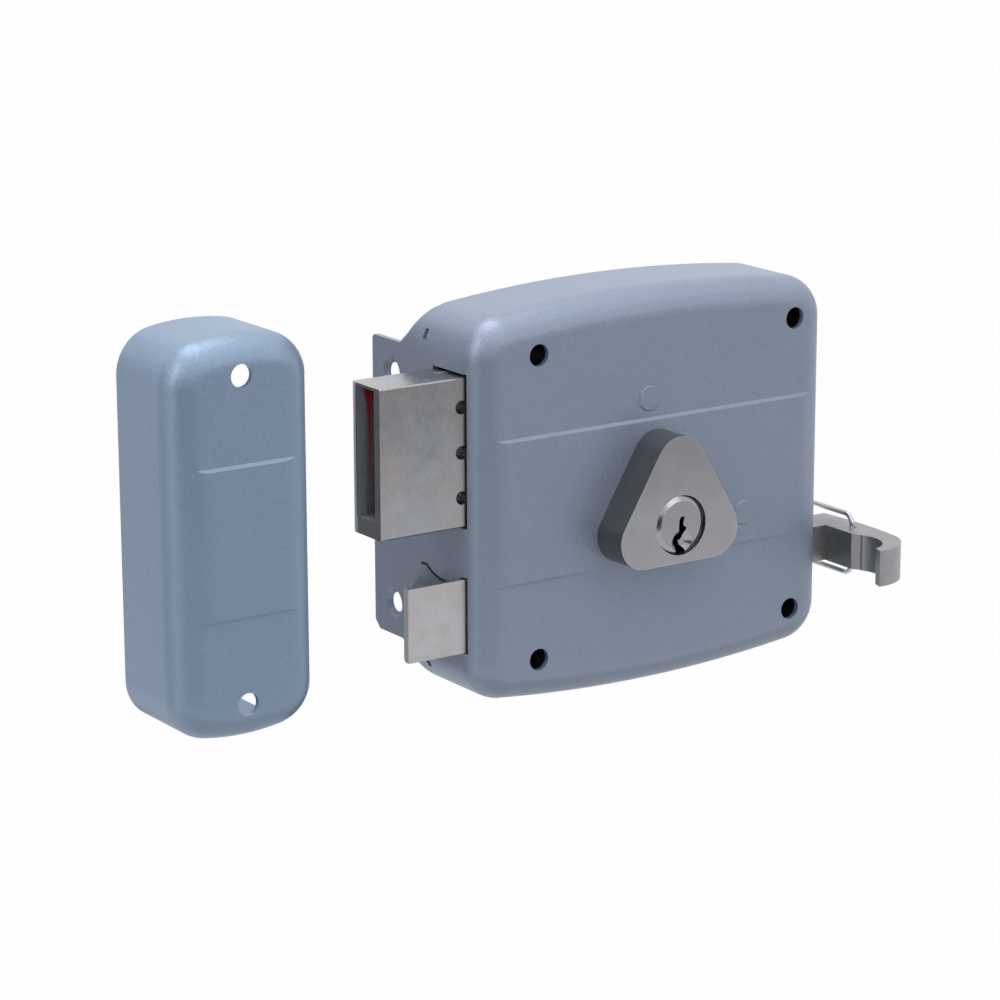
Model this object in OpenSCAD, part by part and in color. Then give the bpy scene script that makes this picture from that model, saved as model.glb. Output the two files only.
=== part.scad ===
// Rim lock for a door with a two-bolt case, a keyed cylinder and a separate staple.
// X runs from the forend to the pull hook, Y from the cover into the door, Z up.
// Sizes are written from the forend face, the cover face and the case's middle height;
// seat() then moves everything so that the origin is the middle of the four cover
// screws on the face that lies on the door.

/* [Case] */
// Length of the case along the door, mm
case_l = 120.8; // [112:0.4:130]
// Depth of the case from cover face to door face, mm
case_d = 29.4; // [29:0.2:34]
// Height of the case at its middle, mm
case_h = 113.3; // [110:0.1:120]
// How far the arched top rises between its corners, mm
arch_rise = 2.75; // [1.5:0.05:3.5]
// Radius of the case's corners seen from the front, mm
corner_r = 12; // [10:0.5:14]
// Radius of the rounding round the cover's front edges, mm
edge_r = 8; // [5:0.5:9]
// Thickness of the cover's sheet steel, mm
sheet_t = 1.6; // [1.2:0.1:2]
// Height of the raised band across the middle of the cover, mm
band_h = 39.6; // [38:0.1:44]
// How far the band stands proud of the cover, mm
band_rise = 0.5; // [0.2:0.1:1]
// Width of the sloped step along the band's edges, mm
band_step = 0.9; // [0.3:0.1:1.2]
// Thickness of the base plate, mm
base_t = 1.5; // [1.2:0.1:1.6]

/* [Fixing holes] */
// Forend to the nearer pair of cover screw holes, mm
screw_x = 20.4; // [19:0.1:22]
// Pull end of the case to the farther pair of cover screw holes, mm
screw_end = 12.4; // [11:0.1:14]
// Case's top and bottom to the cover screw holes, mm
screw_edge = 13.95; // [13.15:0.05:14.15]
// Diameter of the cover screw holes, mm
screw_hole_d = 6.2; // [5:0.1:6.4]
// How far the forend flange stands behind the door face, mm
flange_w = 22.3; // [18:0.1:26]
// Case's top and bottom to the ends of the forend flange, mm
flange_edge = 14.35; // [13.65:0.05:16.65]
// Spacing of the two screws in the flange, mm
flange_screw_dz = 66; // [60:0.5:70]
// Distance of the flange screws behind the door face, mm
flange_hole_back = 12.5; // [10:0.1:15]
// Diameter of the flange screw holes, mm
flange_hole_d = 5.6; // [4.5:0.1:6]

/* [Deadbolt] */
// How far the thrown deadbolt stands out of the forend, mm
bolt_out = 26.7; // [24:0.1:30]
// Height of the deadbolt, mm
bolt_h = 41.4; // [38:0.2:41.4]
// Thickness of the deadbolt, mm
bolt_t = 14.35; // [13:0.05:14.8]
// Cover face to the front of both bolts, mm
bolt_y = 6; // [5.8:0.1:6.4]
// Case's top down to the top of the deadbolt, mm
bolt_edge_top = 18.55; // [18.15:0.05:18.75]
// Distance that the deadbolt draws back, mm
bolt_travel = 26.2; // [24.5:0.1:26.2]

/* [Latch and pull] */
// How far the latch stands out of the forend, mm
latch_out = 18.2; // [16.8:0.1:20]
// Height of the latch, mm
latch_h = 20.75; // [19:0.25:21]
// Case's bottom up to the middle of the latch, mm
latch_rise = 28.25; // [27.85:0.05:28.65]
// Distance that the latch draws back, mm
latch_travel = 16.8; // [15:0.1:16.8]
// Height of the pull hook's bar, mm
hook_h = 10.6; // [9:0.1:11]
// Diameter of the wire bail, mm
wire_d = 1.5; // [1.2:0.1:1.6]
// Gap between the pull hook and each leg of the bail, mm
bail_gap = 2.85; // [2.4:0.05:3.2]

/* [Cylinder] */
// Backset from forend face to plug axis, mm
backset = 60; // [59:0.25:61]
// Plug axis below the case's middle, mm
plug_drop = 8; // [7.8:0.1:8.2]
// Diameter of the plug, mm
plug_d = 16.4; // [15:0.1:16.6]
// How far the cylinder housing stands out in front of the cover's face, mm
housing_out = 11.7; // [10:0.1:14]
// Radius of the housing's three rounded corners, mm
housing_r = 8.1; // [7.6:0.1:8.6]
// Half the spacing of the housing's lower corner centres, mm
housing_half = 11.9; // [11:0.1:12.5]
// Height of the housing's top corner centre above the lower ones, mm
housing_rise = 19.9; // [18:0.1:21]

/* [Staple] */
// Width of the staple, mm
staple_l = 42.4; // [38:0.4:46]
// Height of the staple at its middle, mm
staple_h = 107.8; // [104:0.1:114]
// How far the staple's arched top rises between its corners, mm
staple_rise = 0.8; // [0.4:0.02:1.6]
// Spacing of the two staple screw holes, mm
staple_screw_dz = 87.5; // [84:0.5:90]
// Distance of the staple screw holes from its closed side, mm
staple_screw_in = 20.3; // [19:0.1:22]
// Gap between forend face and the near side of the staple as it stands, mm
staple_gap = 49.6; // [49.6:0.4:70]
// How much higher than the case the staple stands, mm
staple_lift = 4.9; // [3:0.1:6]

/* [Hidden] */
$fn = 48;
eps = 0.01;
// clearances: moving faces, openings round moving parts, running and fixed round fits
slip = 0.2;
opening_gap = 0.65;
run_fit = 0.05;
set_fit = 0.02;

paint = [0.46, 0.51, 0.58];
steel = [0.66, 0.66, 0.67];
zinc = [0.72, 0.70, 0.62];
nickel = [0.58, 0.57, 0.58];
brass = [0.78, 0.63, 0.33];
chrome = [0.82, 0.83, 0.85];

base_y = case_d - base_t;
screw_dx = case_l - screw_x - screw_end;
screw_dz = case_h - 2 * screw_edge;
flange_h = case_h - 2 * flange_edge;
mid_x = screw_x + screw_dx / 2;
screw_xs = [screw_x, screw_x + screw_dx];
plate_gap = 0.15;
post_d = screw_hole_d + 1.4;

// deadbolt: hollow nose, tail plate and rack
bolt_in = 20;
bolt_hi = case_h / 2 - bolt_edge_top;
bolt_lo = bolt_hi - bolt_h;
bolt_z = bolt_hi - bolt_h / 2;
bolt_back = bolt_y + bolt_t;
bolt_edge = 0.35;
tail_t = 3;
tail_y = bolt_y + 7.4;
tail_end = backset + 10;
tail_slot_x = -3.4;
nose_ease = 1.4;
pocket_len = 18.7;
side_hole_d = 3.8;
side_hole_gap = 12.5;
side_hole_drop = 0.1;

// rack and pinion: one turn of the plug draws the bolt right back
plug_z = -plug_drop;
teeth = 8;
pitch_r = bolt_travel / 360 * 180 / PI;
tooth_m = 2 * pitch_r / teeth;
rack_pitch = PI * tooth_m;
pressure = 25;
backlash = 0.16;
pinion_tip = pitch_r + 0.9 * tooth_m;
pinion_root = pitch_r - 0.8 * tooth_m;
rack_line = plug_z + pitch_r;
rack_root = rack_line + 1.15 * tooth_m;
rack_tip = rack_line - 0.55 * tooth_m;
pinion_y = tail_y - 0.5;
pinion_t = tail_t + 1;
boss_d = 4.4;
flat_x = 1.7;

// studs that guide both sliding plates
stud_mark_d = 7.2;
stud_collar_d = 9;
stud_neck_d = 6;
stud_tenon_d = 4.4;
stud_proud = 0.3;
bolt_stud = [backset - 2.5, bolt_hi - 12];
latch_stud = [backset + 30.8, plug_z - 3.2];
slot_w = stud_neck_d + 2 * slip;

// latch: bevelled head hollowed along its top and bottom, tail plate, rod and spring
latch_z = latch_rise - case_h / 2;
latch_back = base_y - 0.5;
latch_nose = 2.4;
latch_in = 18;
latch_tail_y = 15.25;
shank_step = 0.85;
hollow_r = (latch_back - bolt_y) / 2 + 4.3;
hollow_y = (latch_back + bolt_y) / 2 - 0.5;
hollow_sag = 2.7;
rod_d = 3;
rod_y = (latch_tail_y + tail_t + base_y) / 2;
rod_end = backset + 2;
bracket_x = backset - 10;
bracket_t = 2;
spring_wire = 0.8;
spring_d = 6;
spring_turns = 9;

// pull hook and wire bail
hook_y0 = 11;
hook_y1 = 21.5;
hook_root = case_l - 24.8;
hook_tail = case_l - 8.8;
hook_lo = latch_z - hook_h / 2 - 0.4;
hook_hi = hook_lo + hook_h;
hook_x = case_l + 1.2;
bail_x = hook_x + 13.2;
bail_y = 4.8;
bail_end = 27;
bail_bend = 3.2;
bail_hi = hook_hi + bail_gap + wire_d / 2;
bail_lo = hook_lo - bail_gap - wire_d / 2;

// cylinder housing and what is in it
housing_x = backset - 0.4;
housing_lo = plug_z - 2.7;
housing_face = -housing_out;
barrel_d = plug_d + 3.2;
chimney_w = 9;
chimney_hi = 13;
barrel_end = tail_y - 1.2;
plug_face = housing_face + 0.15;
clamp_t = 1.8;
clamp_screw_d = 3;
clamp_head_d = 5.5;
pin_d = 2.9;
pin_count = 5;
pin_pitch = 4;
pin_first = housing_face + 3.1;
chamber_d = pin_d + 0.1;
chamber_top = 12.4;
keyway_top = plug_z + 2.4;

// staple
staple_x = -staple_gap - staple_l;
mouth_lip = 3.2;
mouth_w = 9.4;

// Places shared by every piece

module seat() {
    translate([-mid_x, -case_d, 0]) children();
}

// a drawing in Y and Z, drawn out along X
module along_x(x0, x1) {
    translate([x0, 0, 0]) rotate([90, 0, 90]) linear_extrude(x1 - x0) children();
}

// a drawing in X and Z, drawn out along Y
module along_y(y0, y1) {
    translate([0, y1, 0]) rotate([90, 0, 0]) linear_extrude(y1 - y0) children();
}

// a drawing in X and Y, drawn out along Z
module along_z(z0, z1) {
    translate([0, 0, z0]) linear_extrude(z1 - z0) children();
}

module rod_x(y, z, x0, x1, d) {
    translate([x0, y, z]) rotate([0, 90, 0]) cylinder(h = x1 - x0, d = d);
}

module rod_along_y(x, z, y0, y1, d) {
    translate([x, y0, z]) rotate([-90, 0, 0]) cylinder(h = y1 - y0, d = d);
}

module box(x, y, z) {
    translate([x[0], y[0], z[0]]) cube([x[1] - x[0], y[1] - y[0], z[1] - z[0]]);
}

// a slot with round ends, drawn flat
module slot_2d(x0, x1, z, w) {
    translate([x0, z - w / 2]) square([x1 - x0, w]);
    for (x = [x0, x1]) translate([x, z]) circle(d = w);
}

// Arched box: straight sides, arched top and bottom, round corners, rounded front edges

// height of the corner centres above the box's middle
function corner_z(h, rise, rc) = h / 2 - rc - rise;

// a strip whose front corner on the far side is rounded
module eased_strip(x0, x1, d, r) {
    if (r > 0) {
        translate([x0, 0]) square([x1 - x0 - r, d]);
        translate([x0, r]) square([x1 - x0, d - r]);
        translate([x1 - r, r]) intersection() {
            circle(r);
            translate([0, -r]) square(r);
        }
    } else {
        translate([x0, 0]) square([x1 - x0, d]);
    }
}

// the arch's centre line runs through both corner centres, so arch and corners meet smoothly
module arched_box(l, h, rise, rc, re, y0, y1, inset = 0) {
    zc = corner_z(h, rise, rc);
    u = l / 2 - rc;
    radius = (u * u + rise * rise) / (2 * rise);
    zm = zc + rise - radius;
    far = 2;
    meet = [far * u, zm + far * (zc - zm)];
    depth = y1 - y0;
    translate([l / 2, y0, 0]) {
        for (m = [0, 1]) mirror([m, 0, 0])
            along_z(-zc, zc) eased_strip(-1, l / 2 - inset, depth, re);
        for (n = [0, 1]) mirror([0, 0, n]) {
            intersection() {
                translate([0, 0, zm]) rotate([-90, 0, 0]) rotate_extrude($fn = 720)
                    eased_strip(radius - rise - 5, radius + rc - inset, depth, re);
                along_y(-1, depth + 1) polygon([[0, zm], meet, [-meet[0], meet[1]]]);
            }
            for (m = [0, 1]) mirror([m, 0, 0]) intersection() {
                translate([u, 0, zc]) rotate([-90, 0, 0]) rotate_extrude()
                    eased_strip(0, rc - inset, depth, re);
                along_y(-1, depth + 1) polygon([[u, zc], meet, [l, meet[1]], [l, zc]]);
            }
        }
    }
}

// the raised band on the front: sloped edges, and ends that run out into the front rounding
module band(l) {
    half = band_h / 2;
    step = half + band_step;
    blend = 1.5 * edge_r;
    reach = ceil(10 * (edge_r + sqrt(band_rise * (2 * (blend - edge_r) - band_rise)) + 0.1)) / 10;
    depth = sheet_t * 0.75;
    intersection() {
        along_z(-step, step) {
            translate([reach, -band_rise]) square([l - 2 * reach, band_rise + depth]);
            for (m = [0, 1]) translate([l / 2, 0]) mirror([m, 0]) intersection() {
                translate([reach - l / 2, blend - band_rise]) circle(blend);
                translate([edge_r / 2 - l / 2, -band_rise - 1])
                    square([reach, band_rise + 1 + depth]);
            }
        }
        along_x(-1, l + 1) polygon([[-band_rise, -half], [-band_rise, half], [0, step],
            [case_d, step], [case_d, -step], [0, -step]]);
    }
}

// Case

module screw_spots() {
    for (x = screw_xs, z = [-screw_dz / 2, screw_dz / 2]) translate([x, 0, z]) children();
}

// housing shape seen from the front, grown or shrunk by changing its corner radius
module housing_2d(r) {
    w = housing_half;
    u = housing_rise;
    side = sqrt(w * w + u * u);
    nx = r * u / side;
    nz = r * w / side;
    translate([housing_x, housing_lo]) {
        polygon([[-w, -r], [w, -r], [w + nx, nz], [nx, u + nz], [-nx, u + nz], [-w - nx, nz]]);
        for (x = [-w, w]) translate([x, 0]) circle(r);
        translate([0, u]) circle(r);
    }
}

// the neck of the housing that passes through the cover
module neck_2d(gap) {
    translate([backset, plug_z]) circle(d = barrel_d + 2 * gap);
    translate([backset - chimney_w / 2 - gap, plug_z])
        square([chimney_w + 2 * gap, chimney_hi - plug_z + gap]);
}

module clamp_spots() {
    for (s = [-1, 1]) translate([housing_x + s * (housing_half + 1.2), 0, housing_lo]) children();
}

// height of the latch's opening, with the tongues that reach into the latch's hollows
module latch_opening_2d() {
    tall = latch_h / 2 + 0.4;
    difference() {
        translate([bolt_y - opening_gap, latch_z - tall])
            square([latch_back - bolt_y + opening_gap + 0.3, 2 * tall]);
        for (s = [-1, 1]) translate([hollow_y, latch_z + s * (tall - hollow_sag + hollow_r)])
            circle(hollow_r);
    }
}

// the flange on the door's edge, with a shoulder that joins it to each corner of the case
module forend_flange() {
    top = flange_h / 2;
    rear = case_d + flange_w;
    along_x(0, sheet_t) polygon([[case_d - 6, -top], [rear - 2.4, -top], [rear, -top + 2.4],
        [rear, top - 0.8], [rear - 0.8, top], [case_d - 6, top]]);
    intersection() {
        difference() {
            arched_box(case_l, case_h, arch_rise, corner_r, 0, case_d - 1, case_d + 9);
            arched_box(case_l, case_h, arch_rise, corner_r, 0, case_d - 2, case_d + 10, sheet_t);
        }
        for (m = [0, 1]) mirror([0, 0, m]) along_x(-1, corner_r) polygon([[case_d - 0.5, top - 3],
            [case_d + 8.1, top - 3], [case_d + 8.1, top], [case_d + 4.8, top + 3.2],
            [case_d + 2.4, top + 7.2], [case_d + 0.6, top + 10.4], [case_d - 0.5, top + 11]]);
    }
}

// two teeth of the base plate reach into slits near the case's rear corners
tooth_y = [case_d - 4.15, case_d - 2.85];
tooth_z = corner_z(case_h, arch_rise, corner_r) + 4.55;
tooth_h = 2.5;

module teeth(gap) {
    for (s = [-1, 1]) box([-1, corner_r / 2], [tooth_y[0] - gap, tooth_y[1] + gap],
        [s * tooth_z - tooth_h / 2 - gap, s * tooth_z + tooth_h / 2 + gap]);
}

module case_cover() color(paint) seat() difference() {
    union() {
        arched_box(case_l, case_h, arch_rise, corner_r, edge_r, 0, case_d);
        band(case_l);
        forend_flange();
    }
    arched_box(case_l, case_h, arch_rise, corner_r, edge_r - sheet_t, sheet_t, case_d + 1, sheet_t);
    screw_spots() rod_along_y(0, 0, -1, sheet_t + 1, screw_hole_d);
    for (p = [bolt_stud, latch_stud])
        rod_along_y(p[0], p[1], -1, sheet_t + 1, stud_mark_d + 2 * run_fit);
    along_y(-2, sheet_t + 1) neck_2d(slip);
    clamp_spots() rod_along_y(0, 0, -2, sheet_t + 1, clamp_screw_d + 0.4);
    box([-1, sheet_t + 2], [bolt_y - opening_gap, bolt_back + opening_gap + 0.2],
        [bolt_lo - opening_gap, bolt_hi + opening_gap + 0.1]);
    along_x(-1, sheet_t + 2) latch_opening_2d();
    box([case_l - sheet_t - 2, case_l + 1], [hook_y0 - opening_gap, hook_y1 + opening_gap],
        [hook_lo - opening_gap, hook_hi + opening_gap]);
    teeth(slip);
    for (s = [-1, 1]) translate([0, case_d + flange_hole_back, s * flange_screw_dz / 2])
        rotate([0, 90, 0]) {
            translate([0, 0, -1]) cylinder(h = sheet_t + 2, d = flange_hole_d);
            translate([0, 0, -eps]) cylinder(h = 1.3, d1 = flange_hole_d + 2.8, d2 = flange_hole_d);
        }
}

// an ear of the base plate lies in each rear corner behind the forend and carries a tooth
module base_ears() {
    zc = corner_z(case_h, arch_rise, corner_r);
    ear_r = corner_r - sheet_t - plate_gap;
    for (m = [0, 1]) mirror([0, 0, m]) difference() {
        union() {
            intersection() {
                rod_along_y(corner_r, zc, tooth_y[0] - 0.8, base_y + 0.1, 2 * ear_r);
                box([0, corner_r], [0, case_d], [tooth_z - 2.4, tooth_z + 2.4]);
            }
            intersection() {
                rod_along_y(corner_r, zc, tooth_y[0], tooth_y[1], 2 * corner_r - 2.6);
                teeth(0);
            }
        }
        rod_along_y(corner_r, zc, tooth_y[0] - 2, base_y, 2 * ear_r - 2.6);
    }
}

module base_plate() color(zinc) seat() difference() {
    union() {
        arched_box(case_l, case_h, arch_rise, corner_r, 0, base_y, case_d, sheet_t + plate_gap);
        base_ears();
    }
    screw_spots() rod_along_y(0, 0, base_y - 1, case_d + 1, screw_hole_d);
    for (p = [bolt_stud, latch_stud])
        rod_along_y(p[0], p[1], base_y - 1, case_d + 1, stud_tenon_d + 2 * set_fit);
    rod_along_y(backset, plug_z, base_y - 1, case_d + 1, 12);
    bracket_rivet_spots() rod_along_y(0, 0, base_y - 1, case_d + 1, 3 + 2 * set_fit);
}

module screw_posts() color(zinc) seat() screw_spots() difference() {
    rod_along_y(0, 0, sheet_t, base_y, post_d);
    rod_along_y(0, 0, 0, case_d, screw_hole_d);
}

// a stud from its round mark on the cover to its tenon in the base plate
module guide_stud(front, plate_y) {
    mark = stud_mark_d / 2;
    collar = stud_collar_d / 2;
    neck = stud_neck_d / 2;
    tenon = stud_tenon_d / 2;
    rotate([-90, 0, 0]) rotate_extrude() polygon([[0, front], [mark - 0.3, front], [mark, front + 0.25],
        [mark, sheet_t], [collar, sheet_t], [collar, plate_y - slip], [neck, plate_y - slip],
        [neck, base_y], [tenon, base_y], [tenon, case_d], [0, case_d]]);
}

module guide_studs() color(steel) seat() {
    translate([bolt_stud[0], 0, bolt_stud[1]]) guide_stud(-stud_proud, tail_y);
    translate([latch_stud[0], 0, latch_stud[1]]) guide_stud(-band_rise - stud_proud, latch_tail_y);
}

module stud_sleeves() color(zinc) seat() {
    for (s = [[bolt_stud, tail_y], [latch_stud, latch_tail_y]]) difference() {
        rod_along_y(s[0][0], s[0][1], s[1] + tail_t + slip, base_y, stud_collar_d);
        rod_along_y(s[0][0], s[0][1], 0, case_d, stud_neck_d + 2 * set_fit);
    }
}

// Spring bracket

module bracket_rivet_spots() {
    for (z = [-3, 3]) translate([bracket_x + bracket_t + 4.5, 0, latch_z + z]) children();
}

module spring_bracket() color(zinc) seat() difference() {
    union() {
        box([bracket_x, bracket_x + bracket_t], [latch_tail_y + tail_t + 0.8, base_y],
            [latch_z - 5.5, latch_z + 5.5]);
        box([bracket_x, bracket_x + 9], [base_y - 1.5, base_y], [latch_z - 5.5, latch_z + 5.5]);
    }
    rod_x(rod_y, latch_z, bracket_x - 1, bracket_x + bracket_t + 1, rod_d + 2 * run_fit);
    bracket_rivet_spots() rod_along_y(0, 0, base_y - 3, base_y + 1, 3 + 2 * set_fit);
}

module bracket_rivets() color(steel) seat() bracket_rivet_spots() {
    rod_along_y(0, 0, base_y - 1.5, case_d, 3);
    rod_along_y(0, 0, base_y - 2.3, base_y - 1.5, 4.6);
}

// Deadbolt

module bolt_section_2d() {
    e = bolt_edge;
    polygon([[bolt_y + e, bolt_lo], [bolt_back - e, bolt_lo], [bolt_back, bolt_lo + e],
        [bolt_back, bolt_hi - e], [bolt_back - e, bolt_hi], [bolt_y + e, bolt_hi],
        [bolt_y, bolt_hi - e], [bolt_y, bolt_lo + e]]);
}

// seen from above: the rear corner of the nose is eased
module bolt_plan_2d() {
    n = nose_ease;
    polygon([[-bolt_out, bolt_y - 1], [-bolt_out, bolt_back - n], [-bolt_out + 0.3 * n, bolt_back - 0.3 * n],
        [-bolt_out + 1.7 * n, bolt_back + 0.3 * n], [bolt_in + 1, bolt_back + 1], [bolt_in + 1, bolt_y - 1]]);
}

module bolt_rivet_spots() {
    for (z = [bolt_lo + 9, bolt_hi - 9]) translate([bolt_in - 8, 0, z]) children();
}

module deadbolt_head() color(steel) seat() difference() {
    intersection() {
        along_x(-bolt_out, bolt_in) bolt_section_2d();
        along_z(bolt_lo - 1, bolt_hi + 1) bolt_plan_2d();
    }
    box([-bolt_out - 1, -bolt_out + pocket_len], [bolt_y + 2.8, bolt_back - 2.4],
        [bolt_lo + 4.6, bolt_hi - 0.8]);
    box([tail_slot_x - 0.1, bolt_in + 1], [tail_y - 0.05, tail_y + tail_t + 0.05], [bolt_lo - 1, bolt_hi + 1]);
    for (i = [-1, 0, 1]) rod_along_y(-0.8, bolt_z + side_hole_drop + i * side_hole_gap,
        bolt_y - 1, bolt_y + 6.2, side_hole_d);
    bolt_rivet_spots() rod_along_y(0, 0, bolt_y - 1, bolt_back + 1, 4 + 2 * set_fit);
}

module rack_tooth_2d() {
    half = (rack_pitch - backlash) / 4;
    slope = tan(pressure);
    low = half - (rack_line - rack_tip) * slope;
    high = half + (rack_root - rack_line) * slope;
    polygon([[-low, rack_tip], [low, rack_tip], [high, rack_root], [high, rack_root + 0.6],
        [-high, rack_root + 0.6], [-high, rack_root]]);
}

module deadbolt_tail_2d() {
    slot_end = bolt_stud[0] - bolt_travel - slip;
    difference() {
        union() {
            translate([tail_slot_x, bolt_lo]) square([bolt_in + 6 - tail_slot_x, bolt_h]);
            translate([bolt_in, rack_root]) square([tail_end - bolt_in, bolt_hi - 4 - rack_root]);
            for (i = [-9:1]) translate([backset + (i + 0.5) * rack_pitch, 0]) rack_tooth_2d();
        }
        slot_2d(slot_end, bolt_stud[0] + slip, bolt_stud[1], slot_w);
    }
}

module deadbolt_tail() color(zinc) seat() difference() {
    along_y(tail_y, tail_y + tail_t) deadbolt_tail_2d();
    bolt_rivet_spots() rod_along_y(0, 0, tail_y - 1, tail_y + tail_t + 1, 4 + 2 * set_fit);
}

module deadbolt_rivets() color(steel) seat() bolt_rivet_spots()
    rod_along_y(0, 0, bolt_y + 0.2, bolt_back - 0.2, 4);

// Latch

module latch_plan_2d(x0, x1) {
    intersection() {
        polygon([[-latch_out, bolt_y + 0.3], [-latch_out + 0.3, bolt_y], [latch_in, bolt_y],
            [latch_in, latch_back], [0.5, latch_back], [-latch_out, bolt_y + latch_nose]]);
        translate([x0, bolt_y - 1]) square([x1 - x0, latch_back - bolt_y + 2]);
    }
}

module latch_rivet_spots() {
    for (z = [-5, 5]) translate([latch_in - 6, 0, latch_z + z]) children();
}

module latch_head() color(steel) seat() difference() {
    union() {
        along_z(latch_z - latch_h / 2, latch_z + latch_h / 2) latch_plan_2d(-latch_out - 1, 0.6);
        along_z(latch_z - latch_h / 2 + shank_step, latch_z + latch_h / 2 - shank_step)
            latch_plan_2d(0, latch_in);
    }
    for (s = [-1, 1])
        rod_x(hollow_y, latch_z + s * (latch_h / 2 + 0.4 - hollow_sag + hollow_r),
            -latch_out - 1, latch_in + 1, 2 * hollow_r + 0.8);
    box([6, latch_in + 1], [latch_tail_y - 0.05, latch_tail_y + tail_t + 0.05],
        [latch_z - latch_h, latch_z + latch_h]);
    latch_rivet_spots() rod_along_y(0, 0, bolt_y - 1, latch_back + 1, 4 + 2 * set_fit);
    rod_x(rod_y, latch_z, latch_in - 6, latch_in + 1, rod_d + 2 * set_fit);
}

module latch_tail_2d() {
    slot_end = latch_stud[0] - latch_travel - slip;
    difference() {
        union() {
            translate([6 + 0.1, latch_z - 4.6]) square([hook_tail - 6.1, 9.2]);
            translate([6 + 0.1, latch_z - 7.2]) square([24, 14.4]);
            translate([slot_end - 6.2, latch_z]) square([latch_stud[0] + 6.4 - slot_end + 6.2,
                latch_stud[1] - latch_z + 6.2]);
        }
        slot_2d(slot_end, latch_stud[0] + slip, latch_stud[1], slot_w);
        latch_rivets_2d();
    }
}

module latch_rivets_2d() {
    for (z = [-5, 5]) translate([latch_in - 6, latch_z + z]) circle(d = 4 + 2 * set_fit);
    for (x = hook_rivet_xs) translate([x, hook_mid_z]) circle(d = 3.5 + 2 * set_fit);
}

module latch_tail() color(zinc) seat() along_y(latch_tail_y, latch_tail_y + tail_t) latch_tail_2d();

module latch_rivets() color(steel) seat() latch_rivet_spots()
    rod_along_y(0, 0, bolt_y + 0.2, latch_back - 0.2, 4);

module spring_rod() color(steel) seat() rod_x(rod_y, latch_z, latch_in - 6, rod_end, rod_d);

// the spring: one tube swept along a helix, with a flat closed coil at each end
spring_x0 = latch_in + 0.05;
spring_x1 = bracket_x - 0.05;
coil_r = (spring_d - spring_wire) / 2;
flat_pitch = spring_wire + 0.5;
open_turns = spring_turns - 2;
open_pitch = (spring_x1 - spring_x0 - spring_wire - 2 * flat_pitch) / open_turns;
function coil_x(t) = spring_x0 + spring_wire / 2 + (t < 1 ? t * flat_pitch
    : t < 1 + open_turns ? flat_pitch + (t - 1) * open_pitch
    : flat_pitch + open_turns * open_pitch + (t - 1 - open_turns) * flat_pitch);
function coil_point(t) = [coil_x(t), rod_y + coil_r * cos(360 * t), latch_z + coil_r * sin(360 * t)];
rings_per_turn = 8;
ring_count = spring_turns * rings_per_turn + 1;
tube_sides = 6;
function ring_point(t, k) = let (a = 360 * t, b = 360 * k / tube_sides)
    coil_point(t) + spring_wire / 2 * [sin(b), cos(b) * cos(a), cos(b) * sin(a)];
spring_gap = flat_pitch - spring_wire;
echo(least_gap_between_spring_coils = spring_gap);

module latch_spring() color(steel) seat() polyhedron(
    points = [for (i = [0:ring_count - 1], k = [0:tube_sides - 1]) ring_point(i / rings_per_turn, k)],
    faces = concat(
        [[for (k = [0:tube_sides - 1]) k]],
        [for (i = [0:ring_count - 2], k = [0:tube_sides - 1]) let (n = (k + 1) % tube_sides)
            [i * tube_sides + k, (i + 1) * tube_sides + k, (i + 1) * tube_sides + n, i * tube_sides + n]],
        [[for (k = [tube_sides - 1:-1:0]) (ring_count - 1) * tube_sides + k]]));

// Pull hook: root bar out of the case, turned towards the room and curled at its tip

hook_mid_z = (hook_lo + hook_hi) / 2;
hook_rivet_xs = [hook_root + 4.5, hook_root + 11];
curl_c = [hook_x + 1.5, -8.4];
curl_r = 9.3;
outer_c = [hook_x + 4.4, -7.6];
outer_r = 12.9;

module hook_2d() {
    x = hook_x;
    difference() {
        union() {
            translate([hook_root, hook_y0]) square([x + 12 - hook_root, hook_y1 - hook_y0]);
            intersection() {
                polygon([[x + 8.4, hook_y0 + 0.2], [x + 8.3, -0.9], [x + 9.6, -3.4], [x + 10.6, -8],
                    [x + 20, -8], [x + 20, hook_y1 + 0.5], [x + 8.4, hook_y1 + 0.5]]);
                translate([x + 18 - 120, 5]) circle(120, $fn = 200);
            }
            intersection() {
                translate(outer_c) circle(outer_r);
                polygon([[x + 3.9, -16.4], [x + 2.2, -22], [x + 22, -24], [x + 22, -6], [x + 9, -6]]);
            }
        }
        translate(curl_c) circle(curl_r);
    }
}

module pull_hook() color(steel) seat() difference() {
    along_z(hook_lo, hook_hi) hook_2d();
    box([hook_root - 1, hook_tail + 0.1], [latch_tail_y - 0.05, latch_tail_y + tail_t + 0.05],
        [hook_lo - 1, hook_hi + 1]);
    for (x = hook_rivet_xs) rod_along_y(x, hook_mid_z, hook_y0 - 1, hook_y1 + 1, 3.5 + 2 * set_fit);
    translate([bail_x, bail_y, hook_lo - 1]) cylinder(h = hook_h + 2, d = wire_d + 2 * run_fit);
    translate([bail_x, bail_y, hook_hi - 0.7]) cylinder(h = 0.7 + eps, d1 = wire_d + 2 * run_fit, d2 = 3.1);
    translate([bail_x, bail_y, hook_lo - eps]) cylinder(h = 0.7 + eps, d2 = wire_d + 2 * run_fit, d1 = 3.1);
}

module hook_rivets() color(steel) seat() for (x = hook_rivet_xs)
    rod_along_y(x, hook_mid_z, hook_y0 + 0.2, hook_y1 - 0.2, 3.5);

// Wire bail: two short ends in the hook's hole, two legs and a cross wire behind

module wire_elbow() {
    rotate_extrude(angle = 90) translate([bail_bend, 0]) circle(d = wire_d, $fn = 24);
}

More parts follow.
